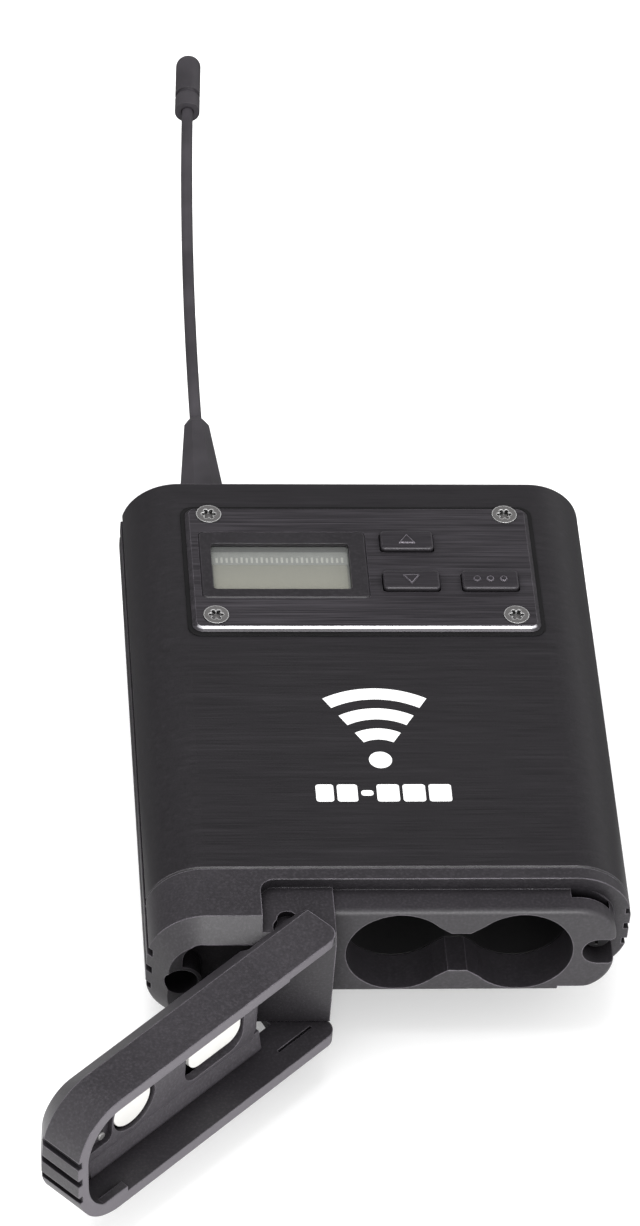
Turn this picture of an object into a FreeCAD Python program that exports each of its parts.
"""Wireless bodypack transmitter, as an assembly of separate sub-parts (millimetres).

Frame: the pack lies on its back.  +X is to the right seen from the front, +Y runs from the battery
end to the antenna end and +Z points out of the front face.  The origin is the middle of the rear
face's battery-end edge.  The battery door is drawn swung fully open about its hinge pin.
"""
import FreeCAD, Part
import math
import os

V = FreeCAD.Vector
X_AXIS = V(1, 0, 0)
Y_AXIS = V(0, 1, 0)
Z_AXIS = V(0, 0, 1)

# ---------------------------------------------------------------- driving dimensions
BODY_W = 70.4            # across the grooved sides
BODY_T = 21.0            # front face to rear face
CORNER_R = 8.5           # rounding of the long edges
CAP_LENGTH = 12.3        # battery-end cap
SLEEVE_END = 94.0        # antenna-end rim of the metal sleeve
SLEEVE_WALL = 1.6
RIM_BREAK = 0.3          # broken edge of the sleeve where it meets the battery-end cap
PORT_INSET = (4.0, 8.0)  # the screw ports end this far inside the sleeve's two rims
PORT_WEB = 2.0           # thickness of the web that joins a port to the wall
PORT_SLOT = 1.0          # slot along each port, towards the middle
END_CHAMFER = 3.0        # chamfer round the battery end
REAR_CHAMFER_Z = 2.0     # the same chamfer's depth into the rear face
FIT_GAP = 0.1            # assembly gap between neighbouring static pieces

GROOVE_DEPTH = 0.8       # grip grooves along both sides
GROOVE_WIDTH = 1.2
GROOVE_PITCH = 3.3

BAY_R = 7.6              # AA cell bay
BAY_PITCH = 17.72
BAY_FIRST_X = 1.24
BAY_DEPTH_Y = 54.0       # far end of the full-width bay
BAY_NECK_RISE = 3.83     # opening between the two bays: half height and half of its flat
BAY_NECK_FLAT = 1.4
BAY_NECK_TURN_DEG = 43.0 # where the waist's flanks meet the round bays
HOLDER_R = 8.55          # outside of a cell tube
HOLDER_END_Y = 59.5
BRIDGE_RISE = 6.4        # half height of the bridge between the cell tubes
CONTACT_POCKET_R = 6.2   # room for the contacts behind each bay
CONTACT_POCKET_Y = 58.0
CELL_SPRING_PITCH = 1.375

BOSS_FACE_Y = 5.6        # face with the bay mouths
BOSS_INSET_Z = 2.2
BOSS_INSET_X = 2.5
BOSS_ROUND = 1.0
BOSS_LEFT = -8.5
BLOCK_FRONT = 1.72       # hinge block between the door's arms: its depth below both faces
BLOCK_REAR = 2.12
CATCH_X = (25.9, 31.6)   # catch slot in the front of the boss
CATCH_Y = 8.5
CATCH_DEPTH = 4.4
SPIGOT_LENGTH = 3.8      # part of the cap that plugs the sleeve
SPIGOT_WALL = 1.3
TAB_X = (25.4, 31.6)     # latch tab on the door's rear flange
TAB_RISE = 1.0
TAB_REACH = 1.3

DOOR_LEFT = -18.7        # closed position
DOOR_TOP = 9.5           # rim of the front flange
DOOR_TOP_REAR = 10.65    # rim of the rear flange
RIM_BEND_Z = 2.5         # the rim slants between these distances from both faces
DOOR_WALL = 2.0
ARM_FRONT = 1.6          # flanges where they straddle the hinge block
ARM_REAR = 2.0
ARM_RELIEF_X = (-12.3, -8.0)  # cut back from the rear arm's end edge
ARM_RELIEF_Y = 3.1
ARM_GROOVE_X = (-16.1, -9.2)
ARM_GROOVE_Y = (7.3, 7.7)
ARM_END_R = 3.3          # rounding of the arms about the pivot
DOOR_CORNER_R = 2.2
WEB_LEFT = -8.0
DOOR_OPEN_DEG = 136.0
HINGE_X = -15.4
HINGE_Y = 2.3
HINGE_PIN_R = 0.7
HINGE_RUN_GAP = 0.05
HINGE_BOSS_R = 1.9
HINGE_BOSS_H = 0.9

RECESS_LEFT = -19.05     # recess in the end cap that takes the door's flanges
RECESS_TOP = 10.15
RECESS_TOP_REAR = 11.3
SEAT_R = 2.1
SEAT_RELIEF_R = 1.45
SEAT_RELIEF_Y = 4.0

CAP_SCREW_X = 30.3       # screws into the sleeve's screw ports
CAP_SCREW_ACCESS_R = 2.4
CAP_SCREW_TUBE_R = 3.0
CAP_SCREW_SEAT_Y = 10.0
POCKET_DEPTH = 4.0
POCKET_ROUND = 2.9
PORT_HOLE_R = 1.15
PORT_R = 2.4
PORT_ROOM = 3.2          # clear space round a port in the top cap
SCREW_CLEAR_R = 1.35
SINK_R = 2.3             # countersinks in the top cap
SINK_DEPTH = 1.3

CARRIER_Y = (4.0, 5.3)   # contact carrier inside the door
CARRIER_LEFT = -6.1
CARRIER_LIP_RISE = 5.4   # sloping lip along the carrier's rear edge
CONTACT_HOLE_R = 4.2     # cut-out in front of the second cell
CONTACT_SLOT_X = (-3.6, 8.5)
CONTACT_SLOT_Z = (6.4, 14.6)
SCREW_STEP_X = (23.4, 28.4)
SCREW_STEP_Z = (7.2, 13.8)
CARRIER_SCREW_X = 25.3
STRAP_Y = (2.6, 3.0)     # nickel strap behind the carrier, with its two raised pads
STRAP_Z = (7.6, 13.4)
STRAP_REACH = 6.4        # beyond each bay's middle
ROUND_PAD_Y = (2.9, 4.8)
ROUND_PAD_R = (3.95, 3.7)
WIDE_PAD_X = (-3.3, 7.4)
WIDE_PAD_Y = (2.9, 4.9)
WIDE_PAD_Z = (8.0, 13.3)

PLATE_W = 52.2           # control plate
PLATE_Y0 = 61.1
PLATE_Y1 = 88.0
PLATE_T = 0.9
PLATE_CORNER_R = 1.6
PLATE_BEVEL = 0.6
PLATE_SCREW_X = 22.5
PLATE_SCREW_Y = (64.1, 86.2)
PANEL_OPEN_X = (-24.8, 24.3)
PANEL_OPEN_Y = (67.0, 83.0)
PANEL_OPEN_R = 1.0
PLATE_SCREW_HEAD_R = 1.9
PLATE_SCREW_R = 0.83
STAR_R = 1.15
STAR_DEPTH = 0.6

BEZEL_X = (-24.4, 0.9)
BEZEL_Y = (67.7, 82.2)
BEZEL_ROUND = 0.8
BEZEL_RISE = 0.15        # above the control plate
WINDOW_X = (-22.6, -1.75)
WINDOW_Y = (69.6, 79.6)

BUTTON_HEIGHT = 3.9
BUTTON_GAP = 0.15
BUTTON_RISE = 0.75
BUTTON_ROUND = 0.6
BUTTON_CROWN = 0.35
BUTTON_FLANGE = 0.55
SYMBOL_RISE = 0.15
DOT_PITCH = 2.0
BUTTONS = {                # centre and width
    "up_button": (7.1, 79.85, 8.0),
    "down_button": (7.2, 71.2, 8.5),
    "set_button": (19.1, 71.2, 8.5),
}

PCB_T = 1.6
PCB_TOP = 16.6
PCB_X = 27.0
PCB_Y = (61.5, 85.0)
LCD_Z = (18.3, 19.38, 20.3)  # back, step and front of the display glass
PLUNGER_TOP = 18.45      # click switches, and the button stems just above them
STEM_BASE = 18.9
CAN_X = (-24.0, 2.0)     # shield can on the board's rear side
CAN_Y = (63.5, 83.0)
CAN_DEPTH = 4.0
CAN_SHEET = 0.3

TOP_CAP_FACE = 93.2      # sits a little inside the sleeve's rim
TOP_CAP_PLATE = 3.0
TOP_CAP_SKIRT = 2.9
TOP_CAP_SKIRT_WALL = 1.4
TOP_CAP_BORDER = 1.2     # raised border round the cap's face
TOP_CAP_STEP = 0.5

ANTENNA_X = -22.2
SOCKET_R = 2.95
SOCKET_Y = 86.0
STUD_R = 1.48
BOOT_BASE_R = 4.6
BOOT_TIP_R = 2.1
BOOT_END_Y = 118.2
WHIP_R = 0.95
WHIP_BEND_R = 1260.0
WHIP_END_Y = 199.5
TIP_R = 2.05
TIP_LENGTH = 13.5

JACK_X = 18.0
JACK_BORE_R = 1.8
JACK_LENGTH = 14.0
JACK_NECK_R = 2.45
COLLAR_R = 3.15          # threaded neck for the plug's locking ring
COLLAR_RISE = 4.6
NUT_R = 4.6
NUT_HEIGHT = 1.4
INSERT_TOP = 90.1        # flanges of jack and socket bear on the top cap from behind
SWITCH_X = -2.0
SWITCH_TRAVEL = 2.0
KNOB_HALF_X = 1.7
KNOB_HALF_Z = 1.3
KNOB_RISE = 1.6
LAMP_X = 7.0
LAMP_R = 1.45

CLIP_HINGE_Y = 74.0
CLIP_HINGE_Z = -3.4
CLIP_WIDTH = 16.0
CLIP_SHEET = 1.2
CLIP_FREE_Y = 24.0
CLIP_PIN_R = 1.0
CLIP_SCREW_X = 5.0
CLIP_SCREW_Y = 58.0
CLIP_SPRING_PITCH = 0.9
EAR_R = 3.0
EAR_GAP = 0.3            # between clip and bracket ear
BRACKET_X = 9.5
BRACKET_Y = (53.0, 79.0)

# ---------------------------------------------------------------- derived values
MID_Z = BODY_T / 2
HALF_W = BODY_W / 2
BAY_CENTRES = (BAY_FIRST_X, BAY_FIRST_X + BAY_PITCH)
HINGE = V(HINGE_X, HINGE_Y, 0)
PLATE_TOP = BODY_T + PLATE_T
INNER_TOP = BODY_T - SLEEVE_WALL
BUTTON_TOP = PLATE_TOP + BUTTON_RISE
TOP_CAP_BACK = TOP_CAP_FACE - TOP_CAP_PLATE
TOP_CAP_FLOOR = TOP_CAP_FACE - TOP_CAP_STEP


# ---------------------------------------------------------------- shape helpers
def box(x, y, z):
    """Box from three (low, high) pairs."""
    return Part.makeBox(x[1] - x[0], y[1] - y[0], z[1] - z[0], V(x[0], y[0], z[0]))


def rod(radius, start, end):
    """Round bar between two points."""
    axis = end.sub(start)
    return Part.makeCylinder(radius, axis.Length, start, axis)


def bar_y(radius, x, y0, y1):
    """Round bar along Y in the pack's middle plane."""
    return rod(radius, V(x, y0, MID_Z), V(x, y1, MID_Z))


def bar_z(radius, x, y, z0, z1):
    """Round bar along Z."""
    return rod(radius, V(x, y, z0), V(x, y, z1))


def cone(r_start, r_end, start, end):
    """Cone or funnel between two points."""
    axis = end.sub(start)
    return Part.makeCone(r_start, r_end, axis.Length, start, axis)


def joined(shapes):
    """One shape from several that touch or overlap."""
    shape = shapes[0].fuse(shapes[1:]) if len(shapes) > 1 else shapes[0]
    return shape.removeSplitter()


def mirrored_x(shape):
    """Copy of a shape on the other side of the pack's middle."""
    return shape.mirror(V(0, 0, 0), X_AXIS)


def edges_on(shape, test):
    """Edges whose every vertex passes the test."""
    return [edge for edge in shape.Edges if all(test(vertex.Point) for vertex in edge.Vertexes)]


def rounded_slab(x, y, z, radius):
    """Plate with its four upright edges rounded."""
    slab = box(x, y, z)
    upright = [e for e in slab.Edges if abs(e.Vertexes[0].Z - e.Vertexes[-1].Z) > 1e-6]
    return slab.makeFillet(radius, upright)


def rounded_outline(x, y, z, radius):
    """Closed rounded rectangle across Y."""
    centres = ((x[1], z[1], 0, -1, -1), (x[0], z[1], 90, 1, -1),
               (x[0], z[0], 180, 1, 1), (x[1], z[0], 270, -1, 1))
    arcs = []
    for corner_x, corner_z, start, turn_x, turn_z in centres:
        middle = V(corner_x + turn_x * radius, y, corner_z + turn_z * radius)
        reach = [math.radians(start + step) for step in (0, 45, 90)]
        points = [middle + V(radius * math.cos(a), 0, radius * math.sin(a)) for a in reach]
        arcs.append(Part.Arc(*points).toShape())
    edges = []
    for index, arc in enumerate(arcs):
        following = arcs[(index + 1) % 4]
        edges += [arc, Part.makeLine(arc.Vertexes[-1].Point, following.Vertexes[0].Point)]
    return Part.Wire(edges)


def section_prism(y0, y1, inset_x=0.0, inset_z=None, chamfer=0.0):
    """Body cross-section, shrunk by the insets, run from y0 to y1; optional chamfer at y0."""
    if inset_z is None:
        inset_z = inset_x
    slab = box((-HALF_W + inset_x, HALF_W - inset_x), (y0, y1), (inset_z, BODY_T - inset_z))
    long_edges = [e for e in slab.Edges if abs(e.Vertexes[0].Y - e.Vertexes[-1].Y) > 1e-6]
    slab = slab.makeFillet(CORNER_R - max(inset_x, inset_z), long_edges)
    if chamfer:
        rim = edges_on(slab, lambda p: abs(p.y - y0) < 1e-6)
        slab = slab.makeChamfer(chamfer, rim)
    return slab


def end_form(y1):
    """Body from its battery end to y1, chamfered all round, less deeply at the rear."""
    cut_in = END_CHAMFER
    tip = rounded_outline((-HALF_W + cut_in, HALF_W - cut_in), 0, (REAR_CHAMFER_Z, BODY_T - cut_in),
                          CORNER_R - cut_in)
    full = rounded_outline((-HALF_W, HALF_W), cut_in, (0, BODY_T), CORNER_R)
    return joined([Part.makeLoft([tip, full], True, True), section_prism(cut_in, y1)])


def rim_profile(x, front_y, rear_y):
    """Everything short of the slanted rim line, over the whole thickness and wider."""
    corners = [V(x[0], -1, -1), V(x[0], rear_y, -1), V(x[0], rear_y, RIM_BEND_Z),
               V(x[0], front_y, BODY_T - RIM_BEND_Z), V(x[0], front_y, BODY_T + 1), V(x[0], -1, BODY_T + 1)]
    return Part.Face(Part.makePolygon(corners + corners[:1])).extrude(V(x[1] - x[0], 0, 0))


def rim_corner_waste(x, front_y, rear_y):
    """What to take off the rim's hinge-side corners to leave them rounded."""
    waste = []
    for y, z in ((front_y, (MID_Z, BODY_T + 1)), (rear_y, (-1, MID_Z))):
        middle = (x + DOOR_CORNER_R, y - DOOR_CORNER_R)
        block = box((x - 1, middle[0]), (middle[1], y + 1), z)
        waste.append(block.cut(rod(DOOR_CORNER_R, V(*middle, z[0]), V(*middle, z[1]))))
    return waste


def side_grooves(y0, y1):
    """Cutters for the three grip grooves on each side."""
    cutters = []
    for row in (-1, 0, 1):
        z = MID_Z + row * GROOVE_PITCH
        right = box((HALF_W - GROOVE_DEPTH, HALF_W + 1), (y0, y1),
                    (z - GROOVE_WIDTH / 2, z + GROOVE_WIDTH / 2))
        cutters += [right, mirrored_x(right)]
    return cutters


def battery_bays(y0, y1):
    """Space of the two cell bays with the waist between them."""
    bays = [bar_y(BAY_R, x, y0, y1) for x in BAY_CENTRES]
    middle = sum(BAY_CENTRES) / 2
    turn = math.radians(BAY_NECK_TURN_DEG)
    touch_x = BAY_PITCH / 2 - BAY_R * math.cos(turn)
    touch_z = BAY_R * math.sin(turn)
    upper = [(-touch_x, touch_z), (-BAY_NECK_FLAT, BAY_NECK_RISE),
             (BAY_NECK_FLAT, BAY_NECK_RISE), (touch_x, touch_z)]
    lower = [(x, -z) for x, z in reversed(upper)]
    corners = [V(middle + x, y0, MID_Z + z) for x, z in upper + lower]
    waist = Part.Face(Part.makePolygon(corners + corners[:1])).extrude(V(0, y1 - y0, 0))
    return joined(bays + [waist])


def coil(radius, wire_r, pitch, turns, base, axis):
    """Helical spring wire standing on base along axis, with a whole number of turns."""
    helix = Part.makeHelix(pitch, pitch * turns, radius)
    ring = Part.Wire(Part.makeCircle(wire_r, V(radius, 0, 0), Y_AXIS))
    spring = Part.Wire(helix.Edges).makePipeShell([ring], True, True)
    turn = FreeCAD.Rotation(Z_AXIS, axis)
    spring.Placement = FreeCAD.Placement(base, turn)
    return spring


def star_socket(radius, top, depth):
    """Six-lobed driver recess opening upwards at top."""
    lobes = [Part.makeCylinder(radius * 0.62, depth, V(0, 0, -depth))]
    for step in range(6):
        angle = math.radians(60 * step)
        centre = V(radius * 0.72 * math.cos(angle), radius * 0.72 * math.sin(angle), -depth)
        lobes.append(Part.makeCylinder(radius * 0.26, depth, centre))
    socket = joined(lobes)
    socket.translate(top)
    return socket


def swing_open(shape):
    """Move a door piece from its closed place to the drawn, open place."""
    moved = shape.copy()
    moved.rotate(HINGE, Z_AXIS, -DOOR_OPEN_DEG)
    return moved


# ---------------------------------------------------------------- casing
def housing_sleeve():
    """Extruded metal tube with screw ports, panel opening and clip screw holes."""
    tube = section_prism(CAP_LENGTH + FIT_GAP, SLEEVE_END, chamfer=RIM_BREAK)
    tube = tube.cut(section_prism(CAP_LENGTH - 1, SLEEVE_END + 1, SLEEVE_WALL))
    tube = tube.cut(side_grooves(CAP_LENGTH - 1, SLEEVE_END + 1))
    y_span = (CAP_LENGTH + PORT_INSET[0], SLEEVE_END - PORT_INSET[1])
    ports = []
    for side in (-1, 1):
        x = side * CAP_SCREW_X
        ports.append(bar_y(PORT_R, x, y_span[0], y_span[1]))
        web_x = sorted((x, side * (HALF_W - SLEEVE_WALL + 0.2)))
        ports.append(box(web_x, y_span, (MID_Z - PORT_WEB / 2, MID_Z + PORT_WEB / 2)))
    tube = joined([tube] + ports)
    for side in (-1, 1):
        x = side * CAP_SCREW_X
        tube = tube.cut(bar_y(PORT_HOLE_R, x, 0, SLEEVE_END))
        slot_x = sorted((x, side * (CAP_SCREW_X - PORT_R - 1)))
        slot_z = (MID_Z - PORT_SLOT / 2, MID_Z + PORT_SLOT / 2)
        tube = tube.cut(box(slot_x, (y_span[0] - 1, y_span[1] + 1), slot_z))
    tube = tube.cut(rounded_slab(PANEL_OPEN_X, PANEL_OPEN_Y, (INNER_TOP - 1, BODY_T + 1), PANEL_OPEN_R))
    holes = [bar_z(0.85, x, y, INNER_TOP - 1, BODY_T + 1) for x, y in plate_screw_spots()]
    holes += [bar_z(1.25, x, y, -1, SLEEVE_WALL + 1) for x, y in clip_screw_spots()]
    return tube.cut(holes)


def bay_boss(y1):
    """Raised form round the two bays, up to y1."""
    boss = section_prism(BOSS_FACE_Y, y1, BOSS_INSET_X, BOSS_INSET_Z)
    boss = boss.makeFillet(BOSS_ROUND, edges_on(boss, lambda p: abs(p.y - BOSS_FACE_Y) < 1e-6))
    return boss.common(box((BOSS_LEFT - 1, HALF_W), (0, y1), (0, BODY_T)))


def cap_recess():
    """Space that the closed door fills, outside the hinge block and the bay boss."""
    space = rim_profile((RECESS_LEFT, HALF_W + 1), RECESS_TOP, RECESS_TOP_REAR)
    space = space.cut(rim_corner_waste(RECESS_LEFT, RECESS_TOP, RECESS_TOP_REAR))
    block_z = (BLOCK_REAR, BODY_T - BLOCK_FRONT)
    hinge_block = box((RECESS_LEFT - 2, BOSS_LEFT), (-2, CAP_LENGTH), block_z)
    return space.cut([hinge_block, bay_boss(CAP_LENGTH)])


def cap_screw_pocket():
    """Rounded pocket beside the hinge block, less the tube round the screw access hole."""
    pocket = box((-CAP_SCREW_X, RECESS_LEFT), (-1, POCKET_DEPTH), (END_CHAMFER, BODY_T - END_CHAMFER))
    corners = edges_on(pocket, lambda p: abs(p.x + CAP_SCREW_X) < 1e-6)
    corners = [e for e in corners if abs(e.Vertexes[0].Y - e.Vertexes[-1].Y) > 1]
    tube = bar_y(CAP_SCREW_TUBE_R, -CAP_SCREW_X, -1, CAP_LENGTH)
    return pocket.makeFillet(POCKET_ROUND, corners).cut(tube)


def hinge_seats():
    """Room in the hinge block for the door's pivot bosses and the pin."""
    reach = HINGE_BOSS_H + 0.1
    seats = []
    for low, high in ((BODY_T - BLOCK_FRONT - reach, BODY_T), (0, BLOCK_REAR + reach)):
        seats.append(bar_z(SEAT_R, HINGE_X, HINGE_Y, low, high))
        seats.append(bar_z(SEAT_RELIEF_R, HINGE_X, SEAT_RELIEF_Y, low, high))
    seats.append(bar_z(HINGE_PIN_R, HINGE_X, HINGE_Y, 0, BODY_T))
    return seats


def latch_slots():
    """Catch slot following the boss's front, and the channel for the door's rear tab."""
    kept = section_prism(0, CAP_LENGTH, BOSS_INSET_X + CATCH_DEPTH, BOSS_INSET_Z + CATCH_DEPTH)
    catch = box(CATCH_X, (CATCH_Y, RECESS_TOP), (MID_Z, BODY_T)).cut(kept)
    channel = box((TAB_X[0] - 0.5, TAB_X[1] + 0.8), (BOSS_FACE_Y - 1, RECESS_TOP_REAR),
                  (0, DOOR_WALL + TAB_RISE + 0.3))
    return [catch, channel]


def bottom_end_cap():
    """Battery-end cap: hinge block, pocket, bay boss, latch slots and screw access holes."""
    cap = end_form(CAP_LENGTH).cut(side_grooves(-1, CAP_LENGTH + 1))
    cap = cap.cut(cap_recess())
    beyond = CAP_LENGTH + SPIGOT_LENGTH + 1
    spigot = section_prism(CAP_LENGTH - 1, CAP_LENGTH + SPIGOT_LENGTH, SLEEVE_WALL + FIT_GAP)
    spigot = spigot.cut(section_prism(CAP_LENGTH, beyond, SLEEVE_WALL + FIT_GAP + SPIGOT_WALL))
    spigot = spigot.cut(holder_form(CAP_LENGTH, beyond, HOLDER_R + FIT_GAP))
    cap = joined([cap, spigot])
    cuts = [cap_screw_pocket(), battery_bays(0, CAP_LENGTH + 1)] + hinge_seats() + latch_slots()
    for side in (-1, 1):
        x = side * CAP_SCREW_X
        cuts.append(bar_y(CAP_SCREW_ACCESS_R, x, -1, CAP_SCREW_SEAT_Y))
        cuts.append(bar_y(SCREW_CLEAR_R, x, -1, CAP_LENGTH + 1))
    cuts.append(box((CAP_SCREW_X, HALF_W + 1), (BOSS_FACE_Y - 1, CAP_SCREW_SEAT_Y),
                    (MID_Z - CAP_SCREW_ACCESS_R, MID_Z + CAP_SCREW_ACCESS_R)))
    return cap.cut(cuts)


def top_end_cap():
    """Antenna-end cap that plugs the sleeve; carries socket, switch, lamp and jack."""
    inset = SLEEVE_WALL + FIT_GAP
    face = section_prism(TOP_CAP_BACK, TOP_CAP_FACE, inset)
    skirt = section_prism(TOP_CAP_BACK - TOP_CAP_SKIRT, TOP_CAP_BACK + 0.1, inset)
    skirt = skirt.cut(section_prism(0, TOP_CAP_BACK, inset + TOP_CAP_SKIRT_WALL))
    cap = joined([face, skirt])
    cap = cap.cut(section_prism(TOP_CAP_FLOOR, TOP_CAP_FACE + 1, inset + TOP_CAP_BORDER))
    cuts = []
    for side in (-1, 1):
        x = side * CAP_SCREW_X
        cuts.append(bar_y(SCREW_CLEAR_R, x, 0, SLEEVE_END))
        cuts.append(cone(SCREW_CLEAR_R, SINK_R, V(x, TOP_CAP_FLOOR - SINK_DEPTH, MID_Z),
                         V(x, TOP_CAP_FLOOR, MID_Z)))
        port_x = sorted((x - side * PORT_ROOM, side * HALF_W))
        cuts.append(box(port_x, (0, TOP_CAP_BACK), (MID_Z - PORT_ROOM, MID_Z + PORT_ROOM)))
    for x, radius in ((ANTENNA_X, SOCKET_R + 0.05), (JACK_X, JACK_NECK_R + 0.15), (LAMP_X, LAMP_R + 0.05)):
        cuts.append(bar_y(radius, x, 0, SLEEVE_END))
    half_slot = KNOB_HALF_X + 0.5 + SWITCH_TRAVEL / 2
    cuts.append(box((SWITCH_X - half_slot, SWITCH_X + half_slot), (0, SLEEVE_END),
                    (MID_Z - KNOB_HALF_Z - 0.3, MID_Z + KNOB_HALF_Z + 0.3)))
    return cap.cut(cuts)


def cap_screws(y_head, toward):
    """Two long self-tapping screws into the sleeve's ports; toward is +1 or -1 along Y."""
    screws = []
    for side in (-1, 1):
        x = side * CAP_SCREW_X
        head_end = V(x, y_head, MID_Z)
        if toward > 0:
            head = rod(1.9, V(x, y_head - 1.6, MID_Z), head_end)
            slot = box((x - 1.4, x + 1.4), (y_head - 1.7, y_head - 1.0), (MID_Z - 0.25, MID_Z + 0.25))
        else:
            head = cone(PORT_HOLE_R, 2.15, head_end, V(x, y_head + 1.2, MID_Z))
            slot = box((x - 1.4, x + 1.4), (y_head + 0.7, y_head + 1.3), (MID_Z - 0.25, MID_Z + 0.25))
        cross = slot.copy()
        cross.rotate(head_end, Y_AXIS, 90)
        shank = rod(PORT_HOLE_R - 0.02, head_end, V(x, y_head + toward * 12, MID_Z))
        screws.append(joined([head, shank]).cut([slot, cross]))
    return Part.makeCompound(screws)


# ---------------------------------------------------------------- control panel
def plate_screw_spots():
    """Places of the control plate's four screws."""
    return [(side * PLATE_SCREW_X, y) for side in (-1, 1) for y in PLATE_SCREW_Y]


def control_plate():
    """Brushed cover plate with bevelled rim, display opening, button openings, screw sinks."""
    half = PLATE_W / 2
    plate = rounded_slab((-half, half), (PLATE_Y0, PLATE_Y1), (BODY_T, PLATE_TOP), PLATE_CORNER_R)
    rim = edges_on(plate, lambda p: abs(p.z - PLATE_TOP) < 1e-6)
    plate = plate.makeChamfer(PLATE_BEVEL, rim)
    opening = (BODY_T - 1, PLATE_TOP + 1)
    cuts = [rounded_slab(BEZEL_X, BEZEL_Y, opening, BEZEL_ROUND)]
    for x, y, width in BUTTONS.values():
        cuts.append(button_block(x, y, width, BUTTON_GAP, opening))
    for x, y in plate_screw_spots():
        cuts.append(bar_z(1.0, x, y, BODY_T - 1, PLATE_TOP + 1))
        cuts.append(cone(1.1, PLATE_SCREW_HEAD_R + 0.1, V(x, y, BODY_T + 0.05), V(x, y, PLATE_TOP + 0.01)))
    return plate.cut(cuts)


def panel_screws():
    """Four countersunk star-drive screws."""
    screws = []
    for x, y in plate_screw_spots():
        top = PLATE_TOP + 0.1
        head = cone(1.05, PLATE_SCREW_HEAD_R, V(x, y, BODY_T + 0.1), V(x, y, PLATE_TOP - 0.05))
        crown = bar_z(PLATE_SCREW_HEAD_R, x, y, PLATE_TOP - 0.05, top)
        shank = bar_z(PLATE_SCREW_R, x, y, INNER_TOP - 0.6, BODY_T + 0.2)
        screw = joined([head, crown, shank])
        screws.append(screw.cut(star_socket(STAR_R, V(x, y, top), STAR_DEPTH)))
    return Part.makeCompound(screws)


def lcd_bezel():
    """Plastic frame that holds the clear window in the plate's opening."""
    gap = 0.05
    top = PLATE_TOP + BEZEL_RISE
    frame = rounded_slab((BEZEL_X[0] + gap, BEZEL_X[1] - gap), (BEZEL_Y[0] + gap, BEZEL_Y[1] - gap),
                         (INNER_TOP + 0.2, top), BEZEL_ROUND - gap)
    rim = edges_on(frame, lambda p: abs(p.z - top) < 1e-6)
    frame = frame.makeChamfer(0.2, rim)
    sight = rounded_slab(WINDOW_X, WINDOW_Y, (0, PLATE_TOP + 1), 0.6)
    return frame.cut(sight)


def lcd_window():
    """Clear pane set inside the bezel."""
    gap = 0.04
    return rounded_slab((WINDOW_X[0] + gap, WINDOW_X[1] - gap), (WINDOW_Y[0] + gap, WINDOW_Y[1] - gap),
                        (BODY_T - 0.4, BODY_T + 0.3), 0.55)


def lcd_module():
    """Display glass sandwich with its step, between board and window."""
    glass = box((WINDOW_X[0] - 0.6, WINDOW_X[1] + 0.6), (WINDOW_Y[0] - 0.5, WINDOW_Y[1] + 1.6), LCD_Z[:2])
    top_glass = box((WINDOW_X[0] + 0.3, WINDOW_X[1] - 0.3), (WINDOW_Y[0] + 0.3, WINDOW_Y[1] - 0.3),
                    LCD_Z[1:])
    return joined([glass, top_glass])


def lcd_connector():
    """Elastomer contact strip and backlight spacer between the display and the board."""
    return rounded_slab((WINDOW_X[0], WINDOW_X[1]), (WINDOW_Y[0], WINDOW_Y[1] + 1.0),
                        (PCB_TOP + 0.02, LCD_Z[0] - 0.02), 0.5)


def button_block(x, y, width, grow, z):
    """Rounded block over a button's outline, grown all round."""
    half_x = width / 2 + grow
    half_y = BUTTON_HEIGHT / 2 + grow
    return rounded_slab((x - half_x, x + half_x), (y - half_y, y + half_y), z, BUTTON_ROUND)


def push_button(x, y, width, symbol):
    """Button cap with a retaining flange, a stem and a raised symbol."""
    cap = button_block(x, y, width, 0, (BODY_T - 0.3, BUTTON_TOP))
    crown = edges_on(cap, lambda p: abs(p.z - BUTTON_TOP) < 1e-6)
    cap = cap.makeFillet(BUTTON_CROWN, crown)
    flange = button_block(x, y, width, BUTTON_FLANGE, (BODY_T - 1.0, BODY_T - 0.1))
    stem = bar_z(1.2, x, y, STEM_BASE, BODY_T - 0.5)
    return joined([cap, flange, stem, symbol])


def triangle_symbol(x, y, points_up):
    """Raised arrow head on a button."""
    turn = 1 if points_up else -1
    low = BUTTON_TOP - 0.1
    corners = [V(x - 1.2, y - turn * 0.8, low), V(x + 1.2, y - turn * 0.8, low), V(x, y + turn * 1.0, low)]
    face = Part.Face(Part.makePolygon(corners + corners[:1]))
    return face.extrude(V(0, 0, SYMBOL_RISE + 0.1))


def dot_row_symbol(x, y):
    """Three raised dots on the set button."""
    low, high = BUTTON_TOP - 0.1, BUTTON_TOP + SYMBOL_RISE
    dots = [bar_z(0.5, x + step * DOT_PITCH, y, low, high) for step in (-1, 0, 1)]
    return Part.makeCompound(dots)


def buttons():
    """The three push buttons by name."""
    shapes = {}
    for name, (x, y, width) in BUTTONS.items():
        if name == "set_button":
            symbol = dot_row_symbol(x, y)
        else:
            symbol = triangle_symbol(x, y, name == "up_button")
        shapes[name] = push_button(x, y, width, symbol)
    return shapes


def tact_switches():
    """Click switches on the board, one under each button."""
    switches = []
    for x, y, _ in BUTTONS.values():
        body = box((x - 2.2, x + 2.2), (y - 2.0, y + 2.0), (PCB_TOP + 0.02, PCB_TOP + 1.5))
        plunger = bar_z(1.0, x, y, PCB_TOP + 1.4, PLUNGER_TOP)
        switches.append(joined([body, plunger]))
    return Part.makeCompound(switches)


# ---------------------------------------------------------------- electronics
def main_board():
    """Circuit board behind the panel."""
    board = rounded_slab((-PCB_X, PCB_X), PCB_Y, (PCB_TOP - PCB_T, PCB_TOP), 1.0)
    return board.cut([bar_z(1.2, x, y, 0, BODY_T) for x, y in plate_screw_spots()])


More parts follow.
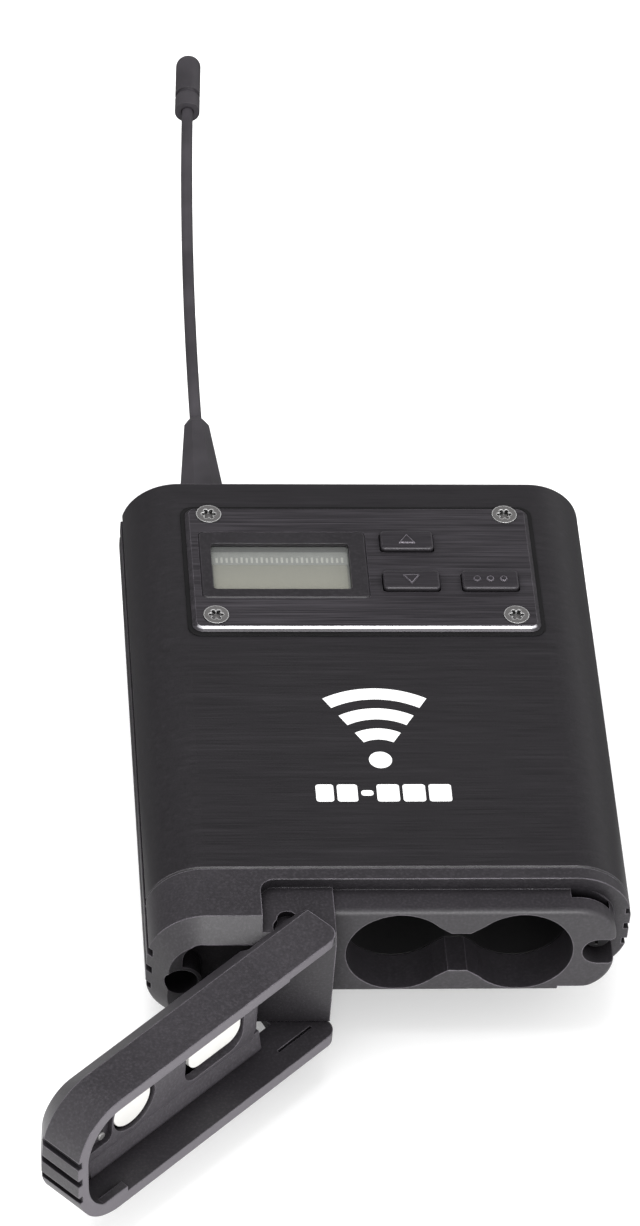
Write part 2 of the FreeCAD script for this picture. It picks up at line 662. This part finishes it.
def shield_can():
    """Folded metal can over the radio section, on the board's rear side."""
    top = PCB_TOP - PCB_T - 0.02
    can = rounded_slab(CAN_X, CAN_Y, (top - CAN_DEPTH, top), 0.8)
    inside_x, inside_y = [(span[0] + CAN_SHEET, span[1] - CAN_SHEET) for span in (CAN_X, CAN_Y)]
    return can.cut(rounded_slab(inside_x, inside_y, (top - CAN_DEPTH + CAN_SHEET, top + 1), 0.5))


def holder_form(y0, y1, radius):
    """Outer form of the two cell tubes with the bridge between them."""
    tubes = [bar_y(radius, x, y0, y1) for x in BAY_CENTRES]
    bridge = box(BAY_CENTRES, (y0, y1), (MID_Z - BRIDGE_RISE, MID_Z + BRIDGE_RISE))
    return joined(tubes + [bridge])


def battery_holder():
    """Two cell tubes with a common back wall."""
    start = CAP_LENGTH + FIT_GAP
    holder = holder_form(start, HOLDER_END_Y, HOLDER_R)
    holder = holder.cut(battery_bays(start - 1, BAY_DEPTH_Y))
    pockets = [bar_y(CONTACT_POCKET_R, x, BAY_DEPTH_Y - 1, CONTACT_POCKET_Y) for x in BAY_CENTRES]
    return holder.cut(pockets)


def cell_spring():
    """Coil contact at the blind end of the first bay."""
    wire_r = 0.4
    base = V(BAY_CENTRES[0], CONTACT_POCKET_Y - wire_r, MID_Z)
    return coil(4.0, wire_r, CELL_SPRING_PITCH, 2, base, V(0, -1, 0))


def cell_button_contact():
    """Dimpled plate contact at the blind end of the second bay."""
    x = BAY_CENTRES[1]
    face = CONTACT_POCKET_Y - 0.5
    plate = bar_y(CONTACT_POCKET_R - 1, x, face, CONTACT_POCKET_Y - 0.02)
    dimple = cone(2.6, 1.8, V(x, face + 0.02, MID_Z), V(x, face - 1.2, MID_Z))
    return joined([plate, dimple])


# ---------------------------------------------------------------- battery door
def door_envelope():
    """Outer form of the closed door: the body's end with its chamfer, grooves and slanted rim."""
    form = end_form(DOOR_TOP_REAR).cut(side_grooves(-1, DOOR_TOP_REAR + 1))
    form = form.common(rim_profile((DOOR_LEFT, HALF_W + 1), DOOR_TOP, DOOR_TOP_REAR))
    arm_end = box((DOOR_LEFT - 1, HINGE_X), (-1, HINGE_Y), (0, BODY_T))
    arm_end = arm_end.cut(rod(ARM_END_R, HINGE, HINGE + V(0, 0, BODY_T)))
    return form.cut([arm_end] + rim_corner_waste(DOOR_LEFT, DOOR_TOP, DOOR_TOP_REAR))


def battery_door():
    """C-shaped cap: two flanges, end web and rounded grip end, with pivot bosses and latch tab."""
    envelope = door_envelope()
    cavity = section_prism(DOOR_WALL, DOOR_TOP_REAR + 1, DOOR_WALL, chamfer=1.4)
    cavity = cavity.common(box((WEB_LEFT, HALF_W), (0, DOOR_TOP_REAR + 1), (0, BODY_T)))
    arms = (ARM_REAR, BODY_T - ARM_FRONT)
    hinge_gap = box((DOOR_LEFT - 1, WEB_LEFT), (-1, DOOR_TOP_REAR + 1), arms)
    relief = box(ARM_RELIEF_X, (-1, ARM_RELIEF_Y), (-1, ARM_REAR + 1))
    groove = box(ARM_GROOVE_X, ARM_GROOVE_Y, (ARM_REAR - 0.4, ARM_REAR + 1))
    door = envelope.cut([cavity, hinge_gap, relief, groove])
    extras = [box(TAB_X, (DOOR_TOP_REAR - TAB_REACH, DOOR_TOP_REAR), (DOOR_WALL - 0.4, DOOR_WALL + TAB_RISE))]
    sockets = []
    for face_z, inward in zip(arms, (1, -1)):
        pivot_z = sorted((face_z - inward * 0.4, face_z + inward * HINGE_BOSS_H))
        socket_z = sorted((face_z - inward * 0.05, face_z + inward * (HINGE_BOSS_H + 1)))
        extras.append(bar_z(HINGE_BOSS_R, HINGE_X, HINGE_Y, pivot_z[0], pivot_z[1]))
        sockets.append(rod(HINGE_PIN_R + HINGE_RUN_GAP, V(HINGE_X, HINGE_Y, socket_z[0]),
                           V(HINGE_X, HINGE_Y, socket_z[1])))
    door = joined([door] + [extra.common(envelope) for extra in extras])
    return swing_open(door.cut(sockets))


def carrier_lip(x):
    """Lip that slopes from the carrier's face down to the rear flange."""
    foot = DOOR_WALL + 0.05
    corners = [V(x[0], CARRIER_Y[0], foot), V(x[0], CARRIER_Y[1] + 0.2, foot),
               V(x[0], CARRIER_Y[1] + 0.2, foot + 0.3), V(x[0], CARRIER_Y[1] - 0.5, CARRIER_LIP_RISE),
               V(x[0], CARRIER_Y[0], CARRIER_LIP_RISE)]
    return Part.Face(Part.makePolygon(corners + corners[:1])).extrude(V(x[1] - x[0], 0, 0))


def door_contact_carrier():
    """Partition inside the door: round and wide contact cut-outs, screw recess, lip and two ribs."""
    plate = box((CARRIER_LEFT, HALF_W), CARRIER_Y, (CARRIER_LIP_RISE, BODY_T))
    lip = carrier_lip((WEB_LEFT + 0.3, 27.5))
    end = box((27.5, HALF_W), CARRIER_Y, (0, CARRIER_LIP_RISE))
    ribs = [box((x, x + 1.2), (DOOR_WALL + 0.05, CARRIER_Y[0] + 0.5), (4.0, BODY_T - 4.0))
            for x in (CARRIER_LEFT - 1.3, 26.2)]
    carrier = joined([plate, lip, end] + ribs).common(section_prism(0, CAP_LENGTH, DOOR_WALL + 0.05))
    carrier = carrier.common(box((WEB_LEFT + 0.3, 31.5), (0, 6), (0, BODY_T)))
    hole = bar_y(CONTACT_HOLE_R, BAY_CENTRES[1], 0, 10)
    slot = rounded_bar_y(CONTACT_SLOT_X, (0, 10), CONTACT_SLOT_Z, 2.5)
    step = rounded_bar_y(SCREW_STEP_X, (CARRIER_Y[0] + 0.4, 10), SCREW_STEP_Z, 1.0)
    return swing_open(carrier.cut([hole, slot, step]))


def door_contact_plate():
    """Nickel strap that joins the two cells: a round pad and a wide flat one."""
    strap_x = (BAY_CENTRES[0] - STRAP_REACH, BAY_CENTRES[1] + STRAP_REACH)
    strap = rounded_bar_y(strap_x, STRAP_Y, STRAP_Z, 2.5)
    round_pad = cone(*ROUND_PAD_R, *[V(BAY_CENTRES[1], y, MID_Z) for y in ROUND_PAD_Y])
    wide_pad = rounded_bar_y(WIDE_PAD_X, WIDE_PAD_Y, WIDE_PAD_Z, 2.4)
    return swing_open(joined([strap, round_pad, wide_pad]))


def rounded_bar_y(x, y, z, radius):
    """Plate lying across Y with its four corners rounded."""
    slab = box(x, y, z)
    through = [e for e in slab.Edges if abs(e.Vertexes[0].Y - e.Vertexes[-1].Y) > 1e-6]
    return slab.makeFillet(radius, through)


def door_carrier_screws():
    """Two small screws that hold the carrier at the grip end."""
    screws = []
    low, high = CARRIER_Y[0] + 0.42, CARRIER_Y[1] - 0.1
    for z in (MID_Z - 1.6, MID_Z + 1.6):
        head = rod(0.7, V(CARRIER_SCREW_X, low, z), V(CARRIER_SCREW_X, high, z))
        screws.append(head.makeFillet(0.25, edges_on(head, lambda p: abs(p.y - high) < 1e-6)))
    return swing_open(Part.makeCompound(screws))


def door_hinge_pin():
    """Steel pin pressed through the hinge block; its ends run in the door's bosses."""
    return bar_z(HINGE_PIN_R, HINGE_X, HINGE_Y, ARM_REAR + 0.05, BODY_T - ARM_FRONT - 0.05)


# ---------------------------------------------------------------- antenna
def antenna_socket():
    """Threaded metal insert in the top cap that takes the antenna boot."""
    x = ANTENNA_X
    body = bar_y(SOCKET_R, x, SOCKET_Y, TOP_CAP_FLOOR)
    flange = bar_y(SOCKET_R + 0.95, x, SOCKET_Y, INSERT_TOP)
    return joined([body, flange]).cut(bar_y(STUD_R + 0.02, x, SOCKET_Y - 1, SLEEVE_END + 1))


def octagon(radius, x, y, z):
    """Closed eight-sided outline across Y."""
    points = [V(x + radius * math.cos(math.radians(22.5 + 45 * k)), y,
                z + radius * math.sin(math.radians(22.5 + 45 * k))) for k in range(8)]
    return Part.makePolygon(points + points[:1])


def antenna_boot():
    """Tapered eight-sided strain relief with a bevelled shoulder and a short stud."""
    start = TOP_CAP_FACE - 0.48
    taper = Part.makeLoft([octagon(BOOT_BASE_R, ANTENNA_X, start, MID_Z),
                           octagon(BOOT_TIP_R, ANTENNA_X, BOOT_END_Y, MID_Z)], True, True)
    shoulder = Part.makeLoft([octagon(BOOT_TIP_R, ANTENNA_X, BOOT_END_Y, MID_Z),
                              octagon(WHIP_R + 0.35, ANTENNA_X, BOOT_END_Y + 1.6, MID_Z)], True, True)
    stud = bar_y(STUD_R, ANTENNA_X, SOCKET_Y + 2, start + 1)
    boot = joined([taper, shoulder, stud])
    return boot.cut(bar_y(WHIP_R, ANTENNA_X, BOOT_END_Y - 6, BOOT_END_Y + 3))


def whip_end():
    """End point of the bent whip and its direction there."""
    turn = (WHIP_END_Y - BOOT_END_Y) / WHIP_BEND_R
    rise = WHIP_BEND_R * math.sin(turn)
    drift = WHIP_BEND_R * (1 - math.cos(turn))
    return V(ANTENNA_X + drift, BOOT_END_Y + rise, MID_Z), V(math.sin(turn), math.cos(turn), 0)


def antenna_whip():
    """Thin coated whip: a straight root in the boot, then a long gentle bend."""
    root = V(ANTENNA_X, BOOT_END_Y, MID_Z)
    radius = WHIP_R - 0.02
    straight = rod(radius, V(ANTENNA_X, BOOT_END_Y - 5.9, MID_Z), root)
    ring = Part.Face(Part.Wire(Part.makeCircle(radius, root, Y_AXIS)))
    turn = math.degrees((WHIP_END_Y - BOOT_END_Y) / WHIP_BEND_R)
    bend = ring.revolve(V(ANTENNA_X + WHIP_BEND_R, BOOT_END_Y, MID_Z), Z_AXIS, -turn)
    return joined([straight, bend])


def antenna_tip():
    """Moulded cap on the whip's end: collar, neck groove, barrel and rounded nose."""
    end, along = whip_end()
    collar = bar_z(TIP_R, 0, 0, -3, 0.2)
    neck = bar_z(TIP_R - 0.35, 0, 0, -1, 2)
    barrel = bar_z(TIP_R, 0, 0, 1.2, TIP_LENGTH - 3)
    nose = edges_on(barrel, lambda p: abs(p.z - TIP_LENGTH + 3) < 1e-6)
    tip = joined([collar, neck, barrel.makeFillet(TIP_R - 0.35, nose)])
    tip = tip.cut(bar_z(WHIP_R + 0.1, 0, 0, -4, 0.3))
    tip.Placement = FreeCAD.Placement(end, FreeCAD.Rotation(Z_AXIS, along))
    return tip


# ---------------------------------------------------------------- top controls
def mic_jack():
    """Jack body behind the cap with its neck and plug bore."""
    x = JACK_X
    body = box((x - 5.0, x + 5.0), (TOP_CAP_FACE - JACK_LENGTH, 86.5), (MID_Z - 3.8, MID_Z + 3.6))
    flange = bar_y(4.2, x, 86.4, INSERT_TOP)
    neck = bar_y(JACK_NECK_R, x, 89.0, TOP_CAP_FACE + COLLAR_RISE - 0.3)
    bore = bar_y(JACK_BORE_R, x, TOP_CAP_FACE - JACK_LENGTH + 2, SLEEVE_END + 9)
    return joined([body, flange, neck]).cut(bore)


def mic_jack_nut():
    """Threaded collar that clamps the jack to the cap, with a notched flange."""
    x = JACK_X
    seat = TOP_CAP_FACE - 0.48
    nut_top = TOP_CAP_FACE + NUT_HEIGHT
    flange = bar_y(NUT_R, x, seat, nut_top)
    flange = flange.makeChamfer(0.3, edges_on(flange, lambda p: abs(p.y - nut_top) < 1e-6))
    notch = box((x - 0.6, x + 0.6), (nut_top - 0.8, nut_top + 1), (MID_Z - 6, MID_Z + 6))
    flange = flange.cut(notch.cut(bar_y(COLLAR_R + 0.45, x, 0, 120)))
    collar = bar_y(COLLAR_R, x, seat, TOP_CAP_FACE + COLLAR_RISE)
    return joined([flange, collar]).cut(bar_y(JACK_NECK_R + 0.05, x, 0, 120))


def power_switch_body():
    """Slide switch housing behind the cap."""
    y = (TOP_CAP_BACK - 5.0, TOP_CAP_BACK - 0.05)
    case = box((SWITCH_X - 5.6, SWITCH_X + 4.6), y, (MID_Z - 3.3, MID_Z + 3.3))
    half = KNOB_HALF_X + 0.1 + SWITCH_TRAVEL / 2
    room_z = (MID_Z - KNOB_HALF_Z - 0.1, MID_Z + KNOB_HALF_Z + 0.1)
    return case.cut(box((SWITCH_X - half, SWITCH_X + half), (y[0] + 1.5, y[1] + 1), room_z))


def power_switch_knob():
    """Ribbed slider of the power switch, drawn in the off position."""
    x = SWITCH_X - SWITCH_TRAVEL / 2
    top = TOP_CAP_FACE + KNOB_RISE
    knob = box((x - KNOB_HALF_X, x + KNOB_HALF_X), (TOP_CAP_BACK - 3.0, top),
               (MID_Z - KNOB_HALF_Z, MID_Z + KNOB_HALF_Z))
    ribs = []
    for shift in (-0.9, 0, 0.9):
        ribs.append(box((x + shift - 0.2, x + shift + 0.2), (top - 0.35, top + 1), (0, BODY_T)))
    return knob.cut(ribs)


def status_lamp():
    """Domed lamp lens with its lead body."""
    x = LAMP_X
    barrel = bar_y(LAMP_R, x, 87.0, TOP_CAP_FACE - 0.4)
    dome = Part.makeSphere(LAMP_R, V(x, TOP_CAP_FACE - 0.4, MID_Z))
    rim = bar_y(LAMP_R + 0.45, x, 86.0, 87.4)
    return joined([barrel, dome, rim])


# ---------------------------------------------------------------- belt clip
def clip_screw_spots():
    """Places of the bracket's two screws."""
    return [(side * CLIP_SCREW_X, CLIP_SCREW_Y) for side in (-1, 1)]


def clip_bracket():
    """Stamped bracket on the rear face with two pivot ears."""
    plate = rounded_slab((-BRACKET_X, BRACKET_X), BRACKET_Y, (-CLIP_SHEET - 0.02, -0.02), 2.0)
    ears = []
    for side in (-1, 1):
        inside = CLIP_WIDTH / 2 + EAR_GAP
        x = sorted((side * inside, side * (inside + CLIP_SHEET)))
        web = box(x, (CLIP_HINGE_Y - EAR_R, CLIP_HINGE_Y + EAR_R), (CLIP_HINGE_Z, -0.5))
        round_end = rod(EAR_R, V(x[0], CLIP_HINGE_Y, CLIP_HINGE_Z), V(x[1], CLIP_HINGE_Y, CLIP_HINGE_Z))
        ears += [web, round_end]
    bracket = joined([plate] + ears)
    cuts = [bar_z(1.3, x, y, -5, 1) for x, y in clip_screw_spots()]
    cuts.append(rod(CLIP_PIN_R, V(-20, CLIP_HINGE_Y, CLIP_HINGE_Z), V(20, CLIP_HINGE_Y, CLIP_HINGE_Z)))
    return bracket.cut(cuts)


def clip_screws():
    """Two pan-head screws that fasten the bracket to the sleeve."""
    screws = []
    for x, y in clip_screw_spots():
        head = bar_z(2.1, x, y, -CLIP_SHEET - 1.2, -CLIP_SHEET - 0.03)
        head = head.makeFillet(0.5, edges_on(head, lambda p: p.z < -CLIP_SHEET - 1.0))
        shank = bar_z(1.2, x, y, -CLIP_SHEET - 0.2, SLEEVE_WALL + 0.5)
        screws.append(joined([head, shank]))
    return Part.makeCompound(screws)


def belt_clip():
    """Sprung clip: thumb tab behind the pivot, long tongue in front of it, hooked free end."""
    half = CLIP_WIDTH / 2
    hinge = (CLIP_HINGE_Y, CLIP_HINGE_Z)
    side_line = [(hinge[0] + 11.0, -7.0), (hinge[0] + 3.0, -6.6), (hinge[0] - 10.0, -6.6),
                 (40.0, -5.6), (CLIP_FREE_Y + 5.0, -1.6), (CLIP_FREE_Y, -2.9)]
    strip = Part.makePolygon([V(-half, y, z) for y, z in side_line]).makeOffset2D(CLIP_SHEET, 0, True, True)
    sheet = strip.extrude(V(CLIP_WIDTH, 0, 0))
    knuckles = []
    for x in ((-half, -half + 3.6), (half - 3.6, half)):
        knuckles.append(rod(2.1, V(x[0], hinge[0], hinge[1]), V(x[1], hinge[0], hinge[1])))
        knuckles.append(box(x, (hinge[0] - 1.4, hinge[0] + 1.4), (-6.6, hinge[1])))
    clip = joined([sheet] + knuckles)
    bore = rod(CLIP_PIN_R + 0.05, V(-20, hinge[0], hinge[1]), V(20, hinge[0], hinge[1]))
    return clip.cut(bore)


def clip_pin():
    """Pivot pin, pressed in the bracket's ears."""
    reach = CLIP_WIDTH / 2 + EAR_GAP + CLIP_SHEET
    return rod(CLIP_PIN_R, V(-reach, CLIP_HINGE_Y, CLIP_HINGE_Z), V(reach, CLIP_HINGE_Y, CLIP_HINGE_Z))


def clip_spring():
    """Torsion spring round the pivot pin."""
    turns = 8
    start = V(-CLIP_SPRING_PITCH * turns / 2, CLIP_HINGE_Y, CLIP_HINGE_Z)
    return coil(1.55, 0.3, CLIP_SPRING_PITCH, turns, start, X_AXIS)


# ---------------------------------------------------------------- output
def all_parts():
    """Every sub-part's shape by node name."""
    parts = {
        "housing_sleeve": housing_sleeve(),
        "bottom_end_cap": bottom_end_cap(),
        "bottom_cap_screws": cap_screws(CAP_SCREW_SEAT_Y, 1),
        "top_end_cap": top_end_cap(),
        "top_cap_screws": cap_screws(TOP_CAP_FACE - 1.75, -1),
        "control_plate": control_plate(),
        "panel_screws": panel_screws(),
        "lcd_bezel": lcd_bezel(),
        "lcd_window": lcd_window(),
        "lcd_module": lcd_module(),
        "lcd_connector": lcd_connector(),
        "tact_switches": tact_switches(),
        "main_board": main_board(),
        "shield_can": shield_can(),
        "battery_holder": battery_holder(),
        "cell_spring": cell_spring(),
        "cell_button_contact": cell_button_contact(),
        "battery_door": battery_door(),
        "door_hinge_pin": door_hinge_pin(),
        "door_contact_carrier": door_contact_carrier(),
        "door_contact_plate": door_contact_plate(),
        "door_carrier_screws": door_carrier_screws(),
        "antenna_socket": antenna_socket(),
        "antenna_boot": antenna_boot(),
        "antenna_whip": antenna_whip(),
        "antenna_tip": antenna_tip(),
        "mic_jack": mic_jack(),
        "mic_jack_nut": mic_jack_nut(),
        "power_switch_body": power_switch_body(),
        "power_switch_knob": power_switch_knob(),
        "status_lamp": status_lamp(),
        "clip_bracket": clip_bracket(),
        "clip_screws": clip_screws(),
        "belt_clip": belt_clip(),
        "clip_pin": clip_pin(),
        "clip_spring": clip_spring(),
    }
    parts.update(buttons())
    return parts


os.makedirs("parts", exist_ok=True)
for name, shape in all_parts().items():
    shape.exportStep("parts/" + name + ".step")
    print(name, "solids", len(shape.Solids), "valid", shape.isValid(), "volume", round(shape.Volume, 1))
